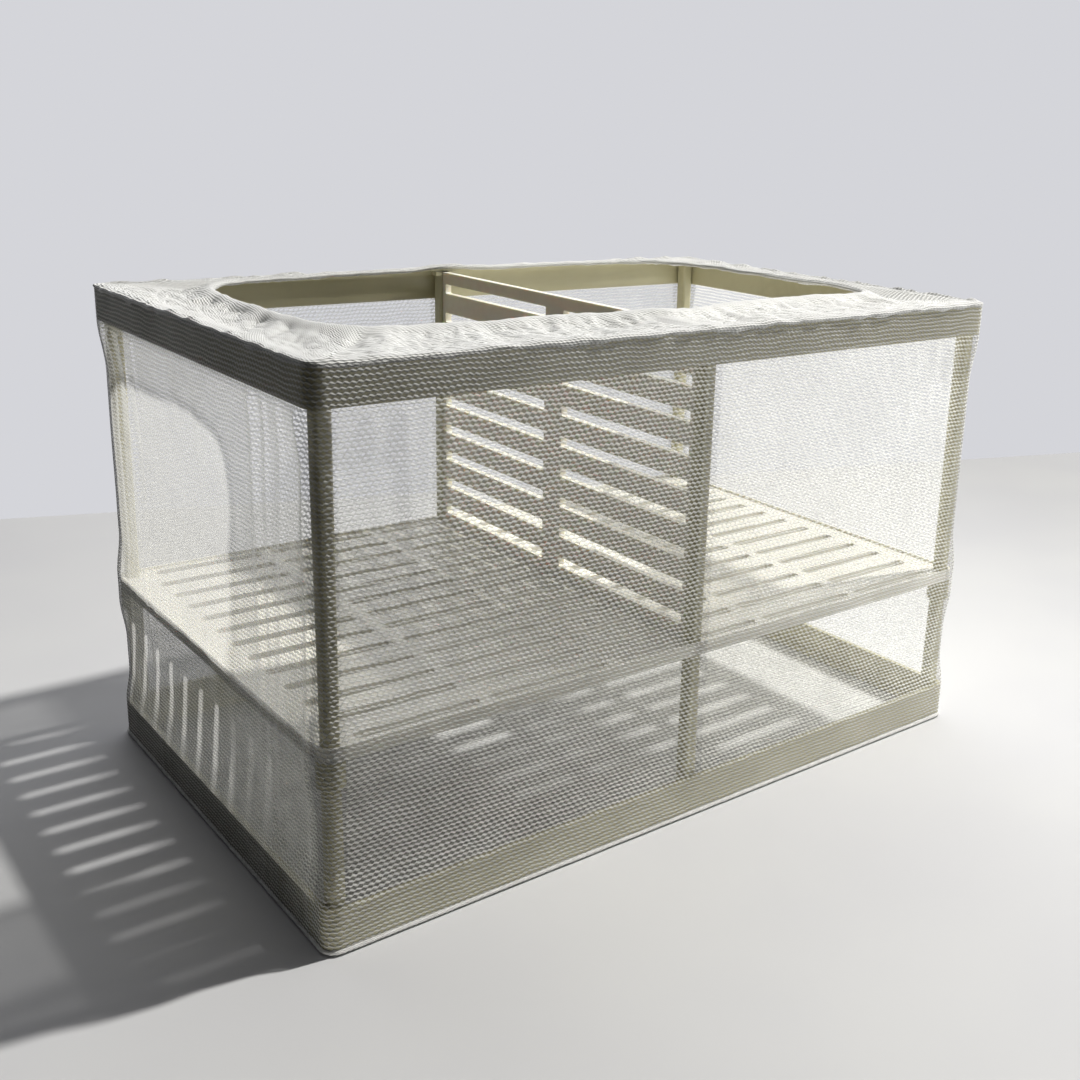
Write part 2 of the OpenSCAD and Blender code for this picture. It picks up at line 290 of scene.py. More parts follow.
def grid_mesh(name, points, uv, close_u=False, close_v=False):
    """A mesh from a grid of points (nu, nv, 3); its faces point along the cross product of the u and v
    steps, and the cloth map holds uv (nu, nv, 2), in metres on the cloth."""
    nu, nv = points.shape[:2]
    iu = np.arange(nu if close_u else nu - 1)
    iv = np.arange(nv if close_v else nv - 1)
    a, b = np.meshgrid(iu, iv, indexing="ij")
    a2, b2 = (a + 1) % nu, (b + 1) % nv
    faces = np.stack([a * nv + b, a2 * nv + b, a2 * nv + b2, a * nv + b2], -1).reshape(-1, 4)
    mesh = bpy.data.meshes.new(name)
    mesh.from_pydata(points.reshape(-1, 3), [], faces)
    mesh.polygons.foreach_set("use_smooth", np.ones(len(faces), bool))
    step_u = uv[1, 0] - uv[0, 0]
    step_v = uv[0, 1] - uv[0, 0]
    ua = uv[a, b]
    ub = np.where((a2 == 0)[..., None], ua + step_u, uv[a2, b])
    uc = np.where(((a2 == 0) | (b2 == 0))[..., None], ua + step_u + step_v, uv[a2, b2])
    ud = np.where((b2 == 0)[..., None], ua + step_v, uv[a, b2])
    layer = mesh.uv_layers.new(name="cloth")
    layer.data.foreach_set("uv", np.stack([ua, ub, uc, ud], 2).astype(np.float32).ravel())
    obj = bpy.data.objects.new(name, mesh)
    bpy.context.collection.objects.link(obj)
    return obj


def panel_path(count, half_long, half_short):
    """Plan of one panel, from the middle of one corner to the middle of the next, facing -Y: a 45 degree
    arc, the straight, a 45 degree arc. Gives points, outward normals, cloth lengths from the panel's middle
    and distances to both corners."""
    arc = corner_r * math.pi / 4
    straight = 2 * (half_long - corner_r)
    total = 2 * arc + straight
    in_arc = np.linspace(0, arc, 6)[1:]
    s = np.sort(np.concatenate([np.linspace(0, total, count), in_arc, total - in_arc]))
    turn = (np.minimum(s - arc, 0) + np.maximum(s - arc - straight, 0)) / corner_r
    along = np.clip(s - arc, 0, straight) - straight / 2
    normal = np.stack([np.sin(turn), -np.cos(turn)], -1)
    centre = np.stack([along, np.full_like(s, -half_short + corner_r)], -1)
    return centre + corner_r * normal, normal, s - total / 2, s, total - s


def larger(tree, a, b):
    """The larger of a and b."""
    return calc(tree, "MAXIMUM", a, b)


def knit_net():
    """Threads of a warp-knitted net, from the place on the cloth. A row's middle line is a leaning wave,
    sin t + 0.3 sin 2t, half a stitch beside the next row's, and its stitches are thickest on the long
    slope; narrow ties join the rows where they come close. Puts out how much thread there is (0 to 1),
    the height of the thread's round back, and a slow change of tone."""
    inputs = [("Cloth", "NodeSocketVector", None)]
    for label, value in (("Row", 0.0013), ("Stitch", 0.002), ("Swing", 0.15), ("Thread", 0.4), ("Tie", 0.95)):
        inputs.append((label, "NodeSocketFloat", value))
    outputs = [(label, "NodeSocketFloat") for label in ("Thread", "Height", "Tone")]
    tree = node_group("knit_net", inputs, outputs)
    given = add(tree, "NodeGroupInput").outputs
    out = add(tree, "NodeGroupOutput").inputs
    place = add(tree, "ShaderNodeSeparateXYZ", (given["Cloth"],)).outputs
    slack = times(tree, minus(tree, noise(tree, given["Cloth"], 110.0, 2.0), 0.5), 1.1)
    t = times(tree, calc(tree, "DIVIDE", place[0], given["Stitch"]), 2 * math.pi)
    v = plus(tree, calc(tree, "DIVIDE", place[1], given["Row"]), slack)
    row = calc(tree, "ROUND", v)
    side = calc(tree, "COSINE", times(tree, row, math.pi))
    sine = times(tree, calc(tree, "SINE", t), side)
    cosine = times(tree, calc(tree, "COSINE", t), side)
    lean = plus(tree, sine, times(tree, times(tree, sine, cosine), 0.6))
    middle = plus(tree, row, times(tree, lean, given["Swing"]))
    away = calc(tree, "ABSOLUTE", minus(tree, v, middle))
    half = times(tree, given["Thread"], minus(tree, 0.46, times(tree, cosine, 0.14)))
    share = calc(tree, "DIVIDE", away, half)
    in_row = ramp(tree, share, 0.75, 1.2, 1.0, 0.0)
    side_below = calc(tree, "COSINE", times(tree, calc(tree, "FLOOR", v), math.pi))
    closeness = times(tree, calc(tree, "SINE", t), side_below)
    in_tie = ramp(tree, closeness, minus(tree, given["Tie"], 0.03), given["Tie"])
    tree.links.new(larger(tree, in_row, times(tree, in_tie, 0.65)), out["Thread"])
    round_back = calc(tree, "SQRT", larger(tree, minus(tree, 1.0, times(tree, share, share)), 0.0))
    tree.links.new(larger(tree, round_back, times(tree, in_tie, 0.4)), out["Height"])
    tree.links.new(noise(tree, given["Cloth"], 45.0, 3.0), out["Tone"])
    return tree


knit_group = knit_net()


def plastic_behind(tree):
    """1 where the bag's wall lies against the bands or the posts, and 0 where nothing backs it."""
    where = add(tree, "ShaderNodeTexCoord").outputs["Object"]
    place = add(tree, "ShaderNodeSeparateXYZ", (where,)).outputs
    x, y = calc(tree, "ABSOLUTE", place[0]), calc(tree, "ABSOLUTE", place[1])
    corner_x, corner_y, middle_half = half_x - 0.0070, half_y - 0.0070, 0.0024
    edge, fine_edge = 0.0004, 0.0003
    upper = ramp(tree, place[2], upper_band_low - edge, upper_band_low + edge)
    lower = ramp(tree, place[2], lower_band_top - edge, lower_band_top + edge, 1.0, 0.0)
    in_corner_x = ramp(tree, x, corner_x - edge, corner_x + edge)
    in_corner_y = ramp(tree, y, corner_y - edge, corner_y + edge)
    corner = times(tree, in_corner_x, in_corner_y)
    middle = ramp(tree, x, middle_half - fine_edge, middle_half + fine_edge, 1.0, 0.0)
    backed = larger(tree, larger(tree, upper, lower), larger(tree, corner, middle))
    in_end_wall = ramp(tree, x, half_x - 0.0040, half_x - 0.0026)
    in_side_wall = ramp(tree, y, half_y - 0.0040, half_y - 0.0026)
    return times(tree, backed, larger(tree, in_end_wall, in_side_wall))


def net_cloth(name, light, dark, knit, cover, haze, through, height, shade):
    """White nylon net: the knit pattern cuts the open cells out of a soft cloth shader. Its colour runs from
    dark on a thread's flanks and on the loose fibres in the cells to light on its round back, a painted shade
    and highlight, with a slow random change of tone. cover is how solid a thread looks, haze how much its
    loose fibres fill a cell, and through how much of the light behind it comes out at the front, of which
    plastic behind the net leaves a tenth. Seen edge on, round threads close the cells between them. Bare
    nylon lets light by that sight doesn't follow: only the share named shade of a filled place is shadow."""
    made, tree, body = new_material(name)
    cloth = add(tree, "ShaderNodeUVMap", uv_map="cloth").outputs[0]
    pattern = add(tree, "ShaderNodeGroup", node_tree=knit_group)
    tree.links.new(cloth, pattern.inputs["Cloth"])
    assign(pattern, knit)
    thread, back, tone = (pattern.outputs[label] for label in ("Thread", "Height", "Tone"))
    # painted shade and highlight: the thread's round back takes the light colour, its flanks and the cells
    # the dark one
    tone_and_painted_shade = plus(tree, times(tree, back, 0.75), ramp(tree, tone, 0.35, 0.65, 0.0, 0.25))
    tree.links.new(blended(tree, tone_and_painted_shade, dark, light), body.inputs["Base Color"])
    filled = plus(tree, times(tree, thread, cover - haze), haze)
    edge_on = add(tree, "ShaderNodeLayerWeight", (0.5,)).outputs["Facing"]
    closed = ramp(tree, edge_on, 0.40, 0.97, 0.0, 0.90)
    filled = plus(tree, filled, times(tree, minus(tree, 1.0, filled), closed))
    passing = times(tree, add(tree, "ShaderNodeLightPath").outputs["Is Shadow Ray"], 1 - shade)
    tree.links.new(times(tree, filled, minus(tree, 1.0, passing)), body.inputs["Alpha"])
    relief(tree, body, back, strength=1.0, distance=height)
    assign(body, {"Roughness": 0.6, "Sheen Weight": 0.1, "Sheen Roughness": 0.4})
    unbacked = minus(tree, 1.0, times(tree, plastic_behind(tree), 0.9))
    lit = blended(tree, times(tree, filled, unbacked), (0, 0, 0), (through, through, through * 0.98))
    behind = add(tree, "ShaderNodeBsdfTranslucent", (lit,))
    both = add(tree, "ShaderNodeAddShader", (body.outputs[0], behind.outputs[0]))
    tree.links.new(both.outputs[0], tree.nodes["Material Output"].inputs["Surface"])
    return made


# dark is painted shade on the threads' flanks and in the cells, light is the painted highlight on their round
# backs
wall_net = net_cloth(
    "knitted_nylon_net", light=(0.93, 0.93, 0.905), dark=(0.30, 0.30, 0.285),
    knit={"Row": 0.00130, "Stitch": 0.0018, "Swing": 0.11, "Thread": 0.57, "Tie": 0.94},
    cover=0.63, haze=0.07, through=0.42, height=0.0008, shade=1.0,
)


def wall_panel(node, half_long, half_short, turns, count, seed, slack=0.0007):
    """One wall of the bag, made facing -Y and then turned by quarter turns about Z: the plan's points moved
    along their normals by the inset, the hanging folds and a slight looseness."""
    plan, normal, s, from_left, from_right = panel_path(count, half_long, half_short)
    at_upper_band = np.linspace(upper_band_low - 0.004, upper_band_low + 0.002, 9)
    at_lower_band = np.linspace(lower_band_top - 0.002, lower_band_top + 0.004, 9)
    z = np.unique(np.concatenate([np.linspace(wall_bottom, wall_top, 110), at_upper_band, at_lower_band]))
    from_corner = np.minimum(from_left, from_right)
    inset = wall_inset(from_corner[:, None], z[None, :])
    fold = slack * tension_folds(from_left[:, None], from_right[:, None], z[None, :], seed)
    fade, looseness = 0.006, 0.00022
    free = smooth((z - lower_band_top) / fade) * smooth((upper_band_low - z) / fade)
    rest = smooth(from_corner / fade)
    loose = looseness * ripple(s[:, None], z[None, :], seed + 7) * free[None, :] * rest[:, None]
    out = -inset + fold * rest[:, None] + loose - np.abs(loose) * 0.5
    xy = plan[:, None, :] + normal[:, None, :] * out[..., None]
    cosine, sine = round(math.cos(turns * math.pi / 2)), round(math.sin(turns * math.pi / 2))
    x = xy[..., 0] * cosine - xy[..., 1] * sine
    y = xy[..., 0] * sine + xy[..., 1] * cosine
    points = np.stack([x, y, np.broadcast_to(z, x.shape)], -1)
    uv = np.stack(np.broadcast_arrays(s[:, None], z[None, :]), -1)
    obj = grid_mesh(node + "_cloth", points, uv)
    obj.data.materials.append(wall_net)
    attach(obj, "frame")
    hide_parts(node)


wall_panel("net_front", half_x, half_y, turns=0, count=220, seed=3)
wall_panel("net_right", half_y, half_x, turns=1, count=150, seed=11)
wall_panel("net_rear", half_x, half_y, turns=2, count=220, seed=23)
wall_panel("net_left", half_y, half_x, turns=3, count=200, seed=5, slack=0.0013)


# --- The net bag's floor --------------------------------------------------------------------------
# One panel of the same net, sewn to the walls all round its lower edge with an overlocked seam; the box
# stands on it.

def round_corners(x, y):
    """Points of the bag's rectangle, with those beyond a corner's arc drawn in to it."""
    over_x = np.maximum(np.abs(x) - (half_x - corner_r), 0)
    over_y = np.maximum(np.abs(y) - (half_y - corner_r), 0)
    reach = np.hypot(over_x, over_y)
    beyond = (over_x > 0) & (over_y > 0) & (reach > corner_r)
    pull = np.where(beyond, corner_r / np.maximum(reach, 1e-9), 1.0)
    x = np.sign(x) * (np.abs(x) - over_x * (1 - pull))
    y = np.sign(y) * (np.abs(y) - over_y * (1 - pull))
    return x, y


grid_x, grid_y = np.meshgrid(np.linspace(-1, 1, 160), np.linspace(-1, 1, 110), indexing="ij")
floor_margin, floor_rise = 0.0002, 0.0005
floor_x, floor_y = round_corners(grid_x * (half_x - floor_margin), grid_y * (half_y - floor_margin))
inside = smooth((1 - np.maximum(np.abs(grid_x), np.abs(grid_y))) / 0.15)
waving = 0.5 + 0.5 * ripple(floor_x, floor_y, 41, longest=0.12, shortest=0.02)
floor_z = wall_bottom + floor_rise * inside * waving
floor_points = np.stack([floor_x, floor_y, floor_z], -1)
floor_cloth = grid_mesh("net_floor_cloth", floor_points, np.stack([floor_x, floor_y], -1))
floor_cloth.data.materials.append(wall_net)
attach(floor_cloth, "frame")
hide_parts("net_floor")


def tube_round(x, y, z, half_w, half_h, sides, gather):
    """A closed tube along the loop (x, y, z): an ellipse half_w by half_h across the path, its size changed
    by gather (one value for each of the loop's points). Gives points and the cloth map."""
    gather = gather[:, None]
    dx = np.roll(x, -1) - np.roll(x, 1)
    dy = np.roll(y, -1) - np.roll(y, 1)
    size = np.hypot(dx, dy)
    nx, ny = dy / size, -dx / size
    around = np.linspace(0, 2 * math.pi, sides, endpoint=False)[None, :]
    w = half_w * np.cos(around) * (1 + gather)
    h = half_h * np.sin(around) * (1 + 1.2 * gather)
    points = np.stack([x[:, None] + nx[:, None] * w, y[:, None] + ny[:, None] * w, z[:, None] + h], -1)
    path = np.concatenate([[0], np.cumsum(np.hypot(np.diff(x), np.diff(y)))])
    uv = np.stack(np.broadcast_arrays(path[:, None], around * (half_w + half_h) / 2), -1)
    return points, uv


def tape_cloth(name, light, dark):
    """Narrow woven tape: fine ribs across it, and soft painted shade in dark blotches that lie at random, not
    in the gathers.
    """
    made, tree, body = new_material(name)
    rib_pitch, thread_pitch = 0.0007, 0.0005
    cloth = add(tree, "ShaderNodeUVMap", uv_map="cloth").outputs[0]
    place = add(tree, "ShaderNodeSeparateXYZ", (cloth,)).outputs
    rib = calc(tree, "SINE", times(tree, place[0], 2 * math.pi / rib_pitch))
    cross = calc(tree, "SINE", times(tree, place[1], 2 * math.pi / thread_pitch))
    weave = times(tree, rib, cross)
    blotch = noise(tree, cloth, 400.0, 3.0)
    tone_and_painted_shade = ramp(tree, plus(tree, blotch, times(tree, weave, 0.12)), 0.35, 0.62)
    tree.links.new(blended(tree, tone_and_painted_shade, dark, light), body.inputs["Base Color"])
    relief(tree, body, plus(tree, weave, times(tree, blotch, 1.5)), strength=0.7, distance=0.0002)
    assign(body, {"Roughness": 0.75, "Sheen Weight": 0.25, "Sheen Roughness": 0.5})
    return made


def bag_outline(count):
    """count places along the bag's lower edge, counterclockwise from the front left: a straight and then a
    quarter turn of radius corner_r, four times. Gives x, y and the distance run."""
    middle_x, middle_y, arc = half_x - corner_r, half_y - corner_r, corner_r * math.pi / 2
    corners = [(-middle_x, -middle_y), (middle_x, -middle_y), (middle_x, middle_y), (-middle_x, middle_y)]
    run = np.linspace(0, 1, count, endpoint=False) * (4 * (middle_x + middle_y) + 4 * arc)
    x, y = np.zeros(count), np.zeros(count)
    start = 0.0
    for quarter, (from_x, from_y) in enumerate(corners):
        to_x, to_y = corners[(quarter + 1) % 4]
        facing = (quarter - 1) * math.pi / 2
        straight = abs(to_x - from_x) + abs(to_y - from_y)
        along = run - start
        here = along >= 0
        x[here] = (from_x + corner_r * math.cos(facing) - math.sin(facing) * along)[here]
        y[here] = (from_y + corner_r * math.sin(facing) + math.cos(facing) * along)[here]
        here = along >= straight
        bend = facing + (along - straight) / corner_r
        x[here] = (to_x + corner_r * np.cos(bend))[here]
        y[here] = (to_y + corner_r * np.sin(bend))[here]
        start += straight + arc
    return x, y, run


seam_x, seam_y, seam_run = bag_outline(1500)
overlock_pitch, seam_lift = 0.0016, 0.00062
loops = 0.12 * np.sin(seam_run / overlock_pitch * 2 * math.pi)
loops = loops + 0.1 * ripple(seam_x, seam_y, 90, longest=0.02, shortest=0.004)
seam_z = np.full(len(seam_x), seam_lift)
seam_points, seam_uv = tube_round(
    seam_x, seam_y, seam_z, half_w=0.00055, half_h=0.0006, sides=8, gather=loops,
)
floor_seam = grid_mesh("net_floor_seam", seam_points, seam_uv, close_u=True, close_v=True)
floor_seam.data.materials.append(tape_cloth("overlock_thread", (0.84, 0.84, 0.82), (0.70, 0.70, 0.67)))
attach(floor_seam, "frame")
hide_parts("net_floor")


# --- The mouth of the net -------------------------------------------------------------------------
# The top of the bag turns in over the upper frame and is gathered onto elastic, so the net there is slack,
# thick and creased, with its cells drawn shut.

low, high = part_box("net_hem")
mouth_mid = ((low[0] + high[0]) / 2, (low[1] + high[1]) / 2)
mouth_half = ((high[0] - low[0]) / 2, (high[1] - low[1]) / 2)
corner_powers = (5.0, 5.0, 7.0, 14.0)
deck_z = wall_top + 0.0003
turns_round = 960


def mouth_ring(count):
    """A superellipse of half sizes 1, x = |cos|^(2/n) and y = |sin|^(2/n) with their signs and n its own in
    each quarter: round at the rear, squarer at the front right. Its points are spread evenly along the
    mouth's edge; gives x, y and the edge's length."""
    step = np.linspace(0, 1, 900, endpoint=False)
    spread = step**6 / (step**6 + (1 - step) ** 6)
    angle = math.pi / 2 * (np.arange(4)[:, None] + spread[None, :])
    cosine, sine = np.round(np.cos(angle), 15), np.round(np.sin(angle), 15)
    power = 2 / np.array(corner_powers)[:, None]
    x = (np.sign(cosine) * np.abs(cosine) ** power).ravel()
    y = (np.sign(sine) * np.abs(sine) ** power).ravel()
    x, y = np.append(x, x[0]), np.append(y, y[0])
    steps = np.hypot(np.diff(x) * mouth_half[0], np.diff(y) * mouth_half[1])
    length = np.concatenate([[0], np.cumsum(steps)])
    at = np.linspace(0, length[-1], count, endpoint=False)
    return np.interp(at, length, x), np.interp(at, length, y), float(length[-1])


def outline_at(x, y):
    """The place on the bag's outer edge that faces the mouth's point (x, y): the point is pushed out from
    the mouth's middle to the side of its rectangle, that side is stretched to the bag's, and the corners
    are rounded."""
    u, v = (x - mouth_mid[0]) / mouth_half[0], (y - mouth_mid[1]) / mouth_half[1]
    most = np.maximum(np.abs(u), np.abs(v))
    return round_corners(u / most * half_x, v / most * half_y)


def hem_path(u, v):
    """Plan and height of the hem's middle line: the mouth's edge, a little uneven. It sinks between the
    frame's corners, lies on the divider's top edge where it crosses, and bows out to the front beside it."""
    hem_half = 0.0016
    front_bows = ((0.0085, 0.006, 0.024), (0.0012, 0.102, 0.012), (-0.0022, -0.066, 0.010))
    x, y = u * (mouth_half[0] - hem_half), v * (mouth_half[1] - hem_half)
    rough = 0.0008 * ripple(x, y, 77, waves=8, longest=0.07, shortest=0.012)
    x, y = x + mouth_mid[0], y + mouth_mid[1]
    front = smooth((-y - 0.02) / 0.02)
    rear = smooth((y - 0.05) / 0.02)
    bow = sum(depth * bell(x, middle, width) for depth, middle, width in front_bows)
    y = y - front * bow - 0.0018 * rear * smooth((-x - 0.005) / 0.02)
    uneven = 0.0003 * ripple(x, y, 78, longest=0.05, shortest=0.01)
    z = wall_top - 0.0001 + 0.0011 * bell(x, 0, 0.011) + 0.0009 * rear + uneven
    return x + rough * 0.6, y + rough, z


def gather_waves(share, t_in, length):
    """Folds that run from the hem outwards: five sine waves round the mouth, each 1.45 times as long as the
    one before, which drift sideways and fade towards the frame."""
    rng = np.random.default_rng(19)
    total = np.zeros(t_in.shape)
    for k in range(5):
        pitch = 0.0042 * 1.45**k
        waves = max(int(round(length / pitch)), 1)
        phase = rng.uniform(0, 2 * math.pi)
        drift = rng.uniform(-0.5, 0.5) * 2
        wave = np.sin(2 * math.pi * waves * share[:, None] + phase + drift * t_in * 3)
        fade = np.clip(t_in * 1.3 + 0.12 * (k > 2), 0, 1) ** (0.8 + 0.15 * k)
        total += pitch * 0.02 * wave * fade
    return total


def cloth_floor(x, y):
    """The least height the slack cloth can lie at: on the frame's lip, on its round corner pads and middle
    tabs and on the divider's top edge, and from each of them down a slope."""
    lip_width, slope = 0.0042, 0.3
    pad_inset, pad_radius = 0.0021, 0.0082
    tab_half, tab_start = 0.0046, 0.0712
    divider_half, divider_reach = 0.0014, 0.073
    off_lip = np.minimum(half_x - np.abs(x), half_y - np.abs(y)) - lip_width
    off_pad = np.hypot(np.abs(x) - half_x + pad_inset, np.abs(y) - half_y + pad_inset) - pad_radius
    off_tab = np.maximum(np.abs(x) - tab_half, tab_start - np.abs(y))
    off_divider = np.maximum(np.abs(x) - divider_half, np.abs(y) - divider_reach)
    off_frame = np.minimum(np.minimum(off_lip, off_pad), off_tab)
    on_frame = wall_top + 0.0001 - slope * np.maximum(off_frame, 0)
    on_divider = wall_top - slope * np.maximum(off_divider, 0)
    return np.maximum(on_frame, on_divider)


# The flap runs from its lower edge, a little down the outside of the frame, over the frame's edge (far = 0)
# and in to the hem. inward and over carry far round that edge: (far + r) / 2 and (far - r) / 2, with
# r = sqrt(far^2 + bend^2).
ring_x, ring_y, hem_length = mouth_ring(turns_round)
share = np.linspace(0, 1, turns_round, endpoint=False)
hem_x, hem_y, hem_z = hem_path(ring_x, ring_y)
edge_x, edge_y = outline_at(ring_x * mouth_half[0] + mouth_mid[0], ring_y * mouth_half[1] + mouth_mid[1])
width = np.hypot(edge_x - hem_x, edge_y - hem_y)
outward_x, outward_y = (edge_x - hem_x) / width, (edge_y - hem_y) / width
drop = 0.0008 + 0.0006 * (1 + ripple(edge_x, edge_y, 61, waves=9, longest=0.02, shortest=0.0035))
wide, down = width[:, None], drop[:, None]
edge_part, past_edge, bend = 0.18, 0.0015, 0.0005
across = np.concatenate([np.linspace(0, edge_part, 16)[:-1], np.linspace(edge_part, 1, 44)])[None, :]
at_edge = -down + (down + past_edge) * across / edge_part
on_deck = past_edge + (wide - past_edge) * (across - edge_part) / (1 - edge_part)
far = np.where(across < edge_part, at_edge, on_deck)
rounded = np.sqrt(far**2 + bend**2)
inward = 0.5 * (far + rounded)
inward = inward * (width / inward[:, -1])[:, None]
over = 0.5 * (far - rounded)
t_in = inward / wide

# At the edge the cloth stands a little proud of the frame, but not at the corners, where it is pulled tight.
proud = 0.0003 + 0.0003 * (1 + ripple(edge_x, edge_y, 65, waves=8, longest=0.016, shortest=0.003))
proud = proud[:, None] * (1 - smooth(inward / 0.0025)) * smooth((far + down) / 0.0008)
at_corner = smooth((2 * np.abs(outward_x * outward_y) - 0.5) / 0.4)
proud = proud * (1 - 0.9 * at_corner)[:, None]
flap_x = edge_x[:, None] - outward_x[:, None] * (inward - proud)
flap_y = edge_y[:, None] - outward_y[:, None] * (inward - proud)

# Its height: the slope from the frame to the hem, the sag of the wide parts, a soft roll along the frame's
# edge, and gathers, creases and dents that grow from the edge inwards; nowhere below what it lies on.
creases = np.abs(ripple(flap_x, flap_y, 59, waves=14, longest=0.011, shortest=0.0026))
crumple = 0.00035 * ripple(flap_x, flap_y, 55, waves=12, longest=0.02, shortest=0.003)
crumple = crumple - 0.0007 * np.exp(-creases / 0.16)
dents = 0.0011 * np.clip(ripple(flap_x, flap_y, 57, waves=7, longest=0.03, shortest=0.009) - 0.25, 0, 1)
hang = np.clip((inward - 0.0045) / np.maximum(wide - 0.0045, 1e-6), 0, 1)
sag = -0.0012 * np.sin(math.pi * hang) * smooth((wide - 0.008) / 0.02)
roll = 0.0005 * (1 + 1.1 * ripple(flap_x, flap_y, 63, waves=9, longest=0.014, shortest=0.003))
roll = roll * bell(inward, 0.0018, 0.0016)
to_hem = (hem_z[:, None] - deck_z) * smooth(t_in * 1.2)
slack = (gather_waves(share, t_in, hem_length) * 0.8 + crumple - dents) * smooth(inward / 0.004)
flap_z = deck_z + over + to_hem + sag + roll + slack
lies_on = np.where(far < 0.0002, -1.0, cloth_floor(flap_x, flap_y))
flap_z = 0.5 * (flap_z + lies_on + np.sqrt((flap_z - lies_on) ** 2 + 0.0003**2))

# At the hem the net is turned over the tape and under it, round an ellipse that is thicker in each gather.
casing_half_w, casing_half_h, wrapped = 0.0018, 0.0009, math.radians(215)
pleat = 0.16 * ripple(hem_x, hem_y, 81, waves=10, longest=0.012, shortest=0.0028)
casing_w = (casing_half_w * (1 + pleat))[:, None]
casing_h = (casing_half_h * (1 + 1.3 * pleat))[:, None]
to_casing = smooth((t_in - 0.82) / 0.18)
flap_z = flap_z * (1 - to_casing) + (hem_z[:, None] + casing_h) * to_casing
round_it = np.linspace(0, wrapped, 16)[None, 1:]
wrap_x = hem_x[:, None] - outward_x[:, None] * casing_w * np.sin(round_it)
wrap_y = hem_y[:, None] - outward_y[:, None] * casing_w * np.sin(round_it)
wrap_z = hem_z[:, None] + casing_h * np.cos(round_it)
over_deck = np.stack([flap_x, flap_y, flap_z], -1)
round_hem = np.stack([wrap_x, wrap_y, wrap_z], -1)
flap_points = np.concatenate([over_deck, round_hem], 1)
cloth_run = (share * hem_length)[:, None]
cloth_far = np.concatenate([far, wide + 0.0016 * round_it], 1)
fuller_round, fuller_across = 1.35, 1.2
flap_uv = np.stack(np.broadcast_arrays(cloth_run * fuller_round, cloth_far * fuller_across), -1)
# dark is painted shade on the threads' flanks and in the cells, light is the painted highlight on their round
# backs
gathered_net = net_cloth(
    "gathered_nylon_net", light=(0.80, 0.80, 0.775), dark=(0.54, 0.54, 0.52),
    knit={"Row": 0.0010, "Stitch": 0.0016, "Swing": 0.12, "Thread": 0.90, "Tie": 0.6},
    cover=0.99, haze=0.86, through=0.10, height=0.0004, shade=0.78,
)
flap = grid_mesh("net_mouth_cloth", flap_points[:, ::-1], flap_uv[:, ::-1], close_u=True)
flap.data.materials.append(gathered_net)
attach(flap, "frame")
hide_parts("net_mouth")


# --- The hem and its elastic ----------------------------------------------------------------------
# A white woven tape along the mouth's edge, with the flat elastic inside it that gathers both. The net is
# turned over the tape, so the tape shows only from below.

hem_points, hem_uv = tube_round(hem_x, hem_y, hem_z, half_w=0.0014, half_h=0.0006, sides=16, gather=pleat)
hem = grid_mesh("net_hem_tape", hem_points, hem_uv, close_u=True, close_v=True)
hem.data.materials.append(tape_cloth("gathered_tape", (0.86, 0.86, 0.84), (0.74, 0.74, 0.71)))
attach(hem, "frame")
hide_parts("net_hem")

ungathered = np.zeros(turns_round)
band_points, band_uv = tube_round(
    hem_x, hem_y, hem_z, half_w=0.0008, half_h=0.00028, sides=8, gather=ungathered,
)
elastic = grid_mesh("hem_elastic_band", band_points, band_uv, close_u=True, close_v=True)
elastic.data.materials.append(tape_cloth("flat_elastic", (0.78, 0.78, 0.76), (0.62, 0.62, 0.60)))
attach(elastic, "frame")
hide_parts("hem_elastic")


# --- The table, the light and the camera ----------------------------------------------------------
# A pale table that ends behind the box, a grey backdrop, one small lamp high on the right that throws the
# slots' shadows, a weak soft one low at the front right, and soft light from the rear right.

table_half, table_z = 3, -0.0004
table = bpy.data.meshes.new("table")
front_left, front_right = (-table_half, -table_half, table_z), (table_half, -table_half, table_z)
rear_right, rear_left = (table_half, 0.0, table_z), (-table_half, 0.0, table_z)
table.from_pydata([front_left, front_right, rear_right, rear_left], [], [(0, 1, 2, 3)])
table_obj = bpy.data.objects.new("table", table)
table_obj.location = (0.043, 0.305, 0)
table_obj.rotation_euler = (0, 0, math.radians(-19))
bpy.context.collection.objects.link(table_obj)


